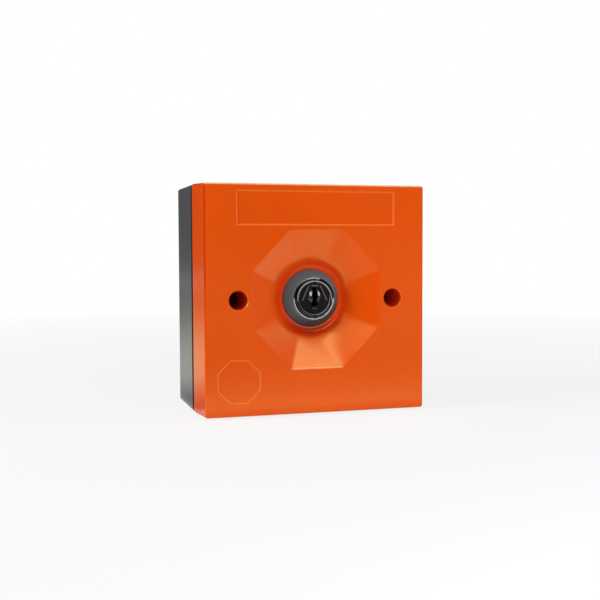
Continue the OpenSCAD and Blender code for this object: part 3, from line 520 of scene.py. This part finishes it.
def fill_moat(inner, outer, low, high, lift):
    """Raises the points of the moat round the collar between two radii and two heights, in mm."""
    bpy.ops.mesh.select_all(action="DESELECT")
    mesh = bmesh.from_edit_mesh(plate.data)
    for corner in mesh.verts:
        radius = Vector((corner.co.x, corner.co.z)).length / MM
        corner.select_set(inner < radius < outer and low < -corner.co.y / MM < high)
    bmesh.update_edit_mesh(plate.data)
    bpy.ops.transform.translate(value=(0, -lift * MM, 0))


# The real moat is up to 1.5 mm shallower than the CAD model's.
bpy.ops.object.mode_set(mode="EDIT")
bpy.ops.mesh.select_mode(type="VERT")
fill_moat(inner=12.7, outer=13.0, low=42.8, high=43.0, lift=0.65)
fill_moat(inner=12.2, outer=12.6, low=41.7, high=41.9, lift=1.50)
fill_moat(inner=11.3, outer=11.8, low=42.9, high=43.1, lift=0.08)
fill_moat(inner=11.3, outer=11.8, low=41.7, high=41.9, lift=1.28)
bpy.ops.object.mode_set(mode="OBJECT")


def outside_dish(spot):
    """Off the curved faces of the dish, whose shading has to flow."""
    return Vector((spot.x, spot.z)).length > 25.5 or spot.y > -40


shade_evenly(plate, flat=outside_dish)

orange_abs, place = start_material("orange_abs")
across = place.along("X")
up = place.along("Z")
forward = -place.along("Y")
side = abs(across)
from_axis = place.from_axis()
on_face = forward.rise(51.50 * MM, 51.55 * MM)
on_rim = forward.rise(51.30 * MM, 51.45 * MM)

# The painted highlight along the outlines runs this far inside them, in millimetres.
label_glint_inset = 0.15
mark_glint_inset = 0.20
over_label = (side - (label_half_width - label_glint_inset) * MM).greater(
    abs(up - label_z * MM) - (label_half_height - label_glint_inset) * MM
)
off_mark_x = abs(across - mark_x * MM)
off_mark_z = abs(up - mark_z * MM)
over_mark = off_mark_x.greater(off_mark_z).greater((off_mark_x + off_mark_z) * cos(radians(45)))
over_mark = over_mark - (mark_half_width - mark_glint_inset) * MM
# Painted highlight along the outlines of the label recess and the octagon mark.
outline_glint = abs(over_label).lesser(abs(over_mark))
outline_glint = (1 - outline_glint.rise(0.18 * MM, 0.38 * MM)) * on_face
# Painted highlights along the dish's lower rim and the face's top edge.
dish_rim_z = -25.85 * MM
dish_rim_glint = up.near(dish_rim_z, 0.15 * MM, 0.35 * MM) * (1 - side.rise(9.5 * MM, 10.5 * MM))
top_edge_glint = up.rise(42.10 * MM, 42.30 * MM) * on_rim
# Painted shade along the face's left edge.
left_edge_shade = (-across).rise(42.05 * MM, 42.25 * MM) * on_rim * up.rise(-25 * MM, 15 * MM)

# Painted shade reddens the moat, darkest under the collar; a painted highlight lines the seat's
# lip.
moat_shade = (1 - from_axis.rise(12.2 * MM, 16.5 * MM)) * (1 - forward.rise(44 * MM, 46.5 * MM))
collar_shadow = moat_shade * (1 - up.rise(-13 * MM, -7 * MM))
seat_lip_radius = 11.3 * MM
# Painted highlight on the lower part of the seat's lip.
lip_glint = from_axis.near(seat_lip_radius, 0.22 * MM, 0.32 * MM) * forward.rise(42.6 * MM, 42.8 * MM)
lip_glint = lip_glint * (1 - up.rise(-9 * MM, -3 * MM))

# These reds are painted shade; the paler oranges and the cream are painted highlights.
moat_shade_red = (0.88, 0.030, 0.0004)
collar_shadow_red = (0.40, 0.002, 0.0)
edge_shade_red = (0.42, 0.010, 0.0)
lip_glint_orange = (0.95, 0.13, 0.06)
outline_glint_orange = (0.96, 0.20, 0.033)
edge_glint_cream = (1.0, 0.60, 0.34)
cloud = place.noise(30 * MM, detail=2)
ripple = place.noise(2.2 * MM, detail=2)
colour = cloud.rise(0.3, 0.7).between((0.84, 0.086, 0.0006), (0.87, 0.092, 0.0010))
colour = (0.75 * moat_shade).between(colour, moat_shade_red)
colour = (0.9 * collar_shadow).between(colour, collar_shadow_red)
colour = (0.7 * left_edge_shade).between(colour, edge_shade_red)
colour = (0.8 * lip_glint).between(colour, lip_glint_orange)
colour = outline_glint.between(colour, outline_glint_orange)
colour = (0.7 * top_edge_glint + 0.6 * dish_rim_glint).between(colour, edge_glint_cream)
surface(orange_abs, {
    "Base Color": colour,
    "Roughness": 0.19 + 0.04 * ripple,
    "Specular IOR Level": 0.7,
    "Specular Tint": (0.98, 0.96, 0.35),
    "Subsurface Weight": 0.3,
    "Subsurface Radius": (1.0, 0.12, 0.02),
    "Subsurface Scale": 2.0 * MM,
})
stands_for(plate, "station", "orange_abs", orange_abs, "front_plate")


# ---- Plate screws ----
# Two slotted pan-head screws of oil-blackened steel, deep in the plate's tubes, that draw the
# plate on to the box.

black_steel, place = start_material("black_steel")
oil = place.noise(1.5 * MM).rise(0.3, 0.7)
surface(black_steel, {
    "Base Color": oil.between((0.10, 0.10, 0.10), (0.15, 0.145, 0.14)),
    "Metallic": 1.0,
    "Roughness": 0.42 + 0.14 * oil,
})
dress(black_steel, "plate_screws")


# ---- Lock collar ----
# A satin moulded cone of grey plastic with a rolled lip, clamped under the lock head. Painted
# shade darkens it underneath and at the right.

collar = joined_copy("lock_collar", "collar")
shade_evenly(collar, angle=40)

collar_grey, place = start_material("collar_grey")
cloud = place.noise(6 * MM)
fine = place.noise(0.25 * MM)
# Painted shade, darker underneath and towards the right.
underside_shade = (0.6 * place.along("X") - place.along("Z")).rise(1 * MM, 9 * MM)
grey = cloud.rise(0.3, 0.7).between((0.094, 0.168, 0.192), (0.104, 0.180, 0.206))
surface(collar_grey, {
    "Base Color": (0.85 * underside_shade).between(grey, (0.012, 0.030, 0.034)),
    "Roughness": 0.46 + 0.06 * cloud,
    "Normal": fine.relief(strength=0.08, depth=0.01 * MM),
})
stands_for(collar, "station", "collar_grey", collar_grey, "lock_collar")


# ---- Lock body ----
# A zinc die casting with a black finish: the round head in the collar, and behind it the
# threaded barrel with its two flats. A painted highlight, near white, runs along the head's
# edge on its lower half and at the top.

head = joined_copy("lock_body", "head")
shade_evenly(head)

black_zinc, place = start_material("black_zinc")
cast = place.noise(0.6 * MM, detail=4, roughness=0.6)
across = place.along("X")
up = place.along("Z")
edge = place.from_axis().rise(7.42 * MM, 7.46 * MM)
edge = edge * (-place.along("Y")).rise(47.30 * MM, 47.34 * MM)
lower_half = 1 - up.rise(-0.5 * MM, 0.5 * MM)
top_stretch = across.rise(-6.5 * MM, -2.2 * MM) * (1 - across.rise(1.7 * MM, 2.6 * MM))
top_stretch = top_stretch * up.rise(0, 1 * MM)
# Painted highlight on the head's edge, along its lower half and at the top.
head_edge_glint = edge * (lower_half + 0.8 * top_stretch)
black = cast.rise(0.3, 0.7).between((0.010, 0.010, 0.011), (0.016, 0.016, 0.018))
surface(black_zinc, {
    "Base Color": head_edge_glint.between(black, (1.0, 1.0, 1.0)),
    "Metallic": 0.1 * head_edge_glint,
    "Roughness": 0.28 + 0.08 * cast + 0.1 * head_edge_glint,
    "Normal": cast.relief(strength=0.15, depth=0.01 * MM),
})
stands_for(head, "station", "black_zinc", black_zinc, "lock_body")


# ---- Lock washer and nut ----
# Stamped from zinc plated steel. The washer's teeth bite the back of the dish, and the nut
# pulls the lock tight.

dress(zinc, "lock_washer", "lock_nut")


# ---- Lock plug ----
# The part that turns with the key: a die casting with a raised rim, a fan of ribs and two
# small domes beside the slot, under glossy black lacquer. Painted highlights, near white, lie on
# the rim's edges and the domes' crowns, and the rib tops are duller with a faint painted sheen.

plug = joined_copy("lock_plug", "plug")
plug_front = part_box("lock_plug")[0].y / MM
round_edges(plug, 0.05 * MM, lambda a, b: max(a.y, b.y) < plug_front + 1.2, sharpest=35)
shade_evenly(plug, angle=40)

plug_black, place = start_material("plug_lacquer")
orange_peel = place.noise(0.5 * MM)
across = place.along("X")
up = place.along("Z")
forward = -place.along("Y")
from_axis = place.from_axis()
# The rib tops: rougher lacquer, and a faint painted sheen.
rib_tops = forward.rise(48.50 * MM, 48.53 * MM) - forward.rise(48.57 * MM, 48.60 * MM)
rib_dullness_and_sheen = rib_tops * (1 - from_axis.rise(5.4 * MM, 5.5 * MM))
outer_radius = 6.62 * MM
inner_radius = 5.85 * MM
# Painted highlights on the rim: its outer edge above the middle, its inner edge below it.
outer_rim_glint = from_axis.near(outer_radius, 0.10 * MM, 0.24 * MM) * up.rise(-1.5 * MM, 1.0 * MM)
inner_rim_glint = from_axis.near(inner_radius, 0.14 * MM, 0.28 * MM)
inner_rim_glint = inner_rim_glint * (1 - up.rise(-1.0 * MM, 1.5 * MM))
rim_glints = forward.rise(48.22 * MM, 48.27 * MM) * (outer_rim_glint + inner_rim_glint)
# Painted highlights on the domes' crowns.
crown_middle_x = 1.62 * MM
crown_middle_z = 1.85 * MM
crown_half_width = 0.42 * MM
crown_half_height = 0.95 * MM
crown_x = (abs(across) - crown_middle_x) * (1 / crown_half_width)
crown_z = (up - crown_middle_z) * (1 / crown_half_height)
crown_glint = 1 - (crown_x * crown_x + crown_z * crown_z).rise(0.6, 1.2)
crown_glint = crown_glint * forward.rise(48.40 * MM, 48.45 * MM)
# All the painted highlights, mixed toward near white.
painted_glints = 0.09 * rib_dullness_and_sheen + 0.42 * rim_glints + 0.62 * crown_glint
lacquer = orange_peel.rise(0.3, 0.7).between((0.008, 0.008, 0.009), (0.012, 0.012, 0.013))
surface(plug_black, {
    "Base Color": painted_glints.between(lacquer, (0.98, 0.98, 0.96)),
    "Roughness": 0.15 + 0.06 * orange_peel + 0.2 * rib_dullness_and_sheen,
    "Normal": orange_peel.relief(strength=0.12, depth=0.01 * MM),
})
stands_for(plug, "lock_rotor", "plug_black", plug_black, "lock_plug")


# ---- Wafers ----
# Five thin plates blanked from brass strip, each with a window for the key's blade. They slide
# in slots across the plug, drawn in here as with the key in.

dress(brass, "wafers")


# ---- Cam and its fixing ----
# The cam that pushes the plungers: moulded of natural acetal, milky and waxy to the touch, and
# held on the plug's square tail by a zinc plated screw and washer.

acetal, place = start_material("natural_acetal")
milk = place.noise(4 * MM).rise(0.3, 0.7)
rub = place.noise(0.3 * MM)
surface(acetal, {
    "Base Color": milk.between((0.68, 0.65, 0.58), (0.74, 0.71, 0.64)),
    "Roughness": 0.38 + 0.10 * rub,
    "Subsurface Weight": 0.15,
    "Subsurface Scale": 1 * MM,
    "Normal": rub.relief(strength=0.05, depth=0.01 * MM),
})
dress(acetal, "cam")
dress(zinc, "cam_washer", "cam_screw")


# ---- Circuit board ----
# Green lacquered glass fibre. The weave shows faintly through the lacquer, and four screws
# hold the board to the plate's posts.

board_green, place = start_material("board_lacquer")
weave = place.waves("X", scale=420) * place.waves("Z", scale=420)
paler = 0.7 * weave + 0.3 * place.noise(5 * MM)
surface(board_green, {
    "Base Color": paler.between((0.018, 0.105, 0.030), (0.034, 0.170, 0.052)),
    "Roughness": 0.26 + 0.10 * weave,
    "Normal": weave.relief(strength=0.10, depth=0.02 * MM),
})
dress(board_green, "circuit_board")
dress(zinc, "board_screws")


# ---- Alarm resistor ----
# A wire-wound resistor with a beige lacquered body. Its tinned leads are bent down and soldered
# into the board.

resistor, place = start_material("resistor_lacquer")
lead_length = 2.4 * MM
half_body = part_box("alarm_resistor")[1].x - lead_length
tinned = place.math("GREATER_THAN", abs(place.along("X")), half_body)
speckle = place.noise(0.4 * MM).rise(0.3, 0.7)
beige = speckle.between((0.56, 0.44, 0.25), (0.62, 0.50, 0.30))
surface(resistor, {
    "Base Color": tinned.between(beige, (0.60, 0.61, 0.63)),
    "Metallic": tinned,
    "Roughness": 0.45 - 0.15 * tinned + 0.05 * speckle,
})
dress(resistor, "alarm_resistor")


# ---- Switches ----
# Two closed switches on the board: a black moulded case with a dark grey lid, two screws with
# nuts, copper strip contacts, and an acetal plunger that carries a copper bridge. The steel
# spring stays put at its outer end and, in the real switch, shortens as the plunger comes in;
# here it is one fixed piece.

def filled_nylon(name, dark, pale, roughness):
    """Glass filled nylon, whose fibres leave a fine grain in its skin."""
    made, place = start_material(name)
    fibre = place.noise(0.5 * MM, detail=4, roughness=0.65)
    surface(made, {
        "Base Color": fibre.rise(0.3, 0.7).between(dark, pale),
        "Roughness": roughness + 0.12 * fibre,
        "Normal": fibre.relief(strength=0.15, depth=0.02 * MM),
    })
    return made


case_black = filled_nylon("switch_nylon", (0.018, 0.018, 0.020), (0.030, 0.031, 0.034), 0.42)
lid_grey = filled_nylon("lid_nylon", (0.038, 0.040, 0.045), (0.052, 0.054, 0.060), 0.44)
dress(case_black, "switch_cases")
dress(lid_grey, "switch_lids")

copper, place = start_material("contact_copper")
heat = place.noise(2.5 * MM).rise(0.3, 0.7)
drawn = place.noise(0.15 * MM)
surface(copper, {
    "Base Color": heat.between((0.56, 0.28, 0.13), (0.46, 0.21, 0.10)),
    "Metallic": 1.0,
    "Roughness": 0.24 + 0.12 * heat + 0.06 * drawn,
    "Normal": drawn.relief(strength=0.10, depth=0.01 * MM),
})
dress(copper, "switch_contacts", "bridge_left", "bridge_right")
dress(zinc, "switch_screws", "switch_nuts")
dress(acetal, "plunger_left", "plunger_right")

for hand, fixed_end in (("left", 0), ("right", 1)):
    spring = joined_copy(f"spring_{hand}", f"return_spring_{hand}")
    shade_evenly(spring, angle=40)
    stands_for(spring, "station", "bright_steel", zinc, f"spring_{hand}")
    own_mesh(spring)


# ---- Terminals ----
# A row of six screw clamps of brass in a green polyamide housing, soldered to the board by
# square pins.

polyamide, place = start_material("terminal_polyamide")
flow = place.noise(3 * MM).rise(0.3, 0.7)
fine = place.noise(0.3 * MM)
surface(polyamide, {
    "Base Color": flow.between((0.085, 0.235, 0.085), (0.110, 0.275, 0.108)),
    "Roughness": 0.40 + 0.10 * fine,
    "Normal": fine.relief(strength=0.10, depth=0.01 * MM),
})
dress(polyamide, "terminal_housing")
dress(brass, "terminal_clamps", "terminal_pins")
dress(zinc, "terminal_screws")
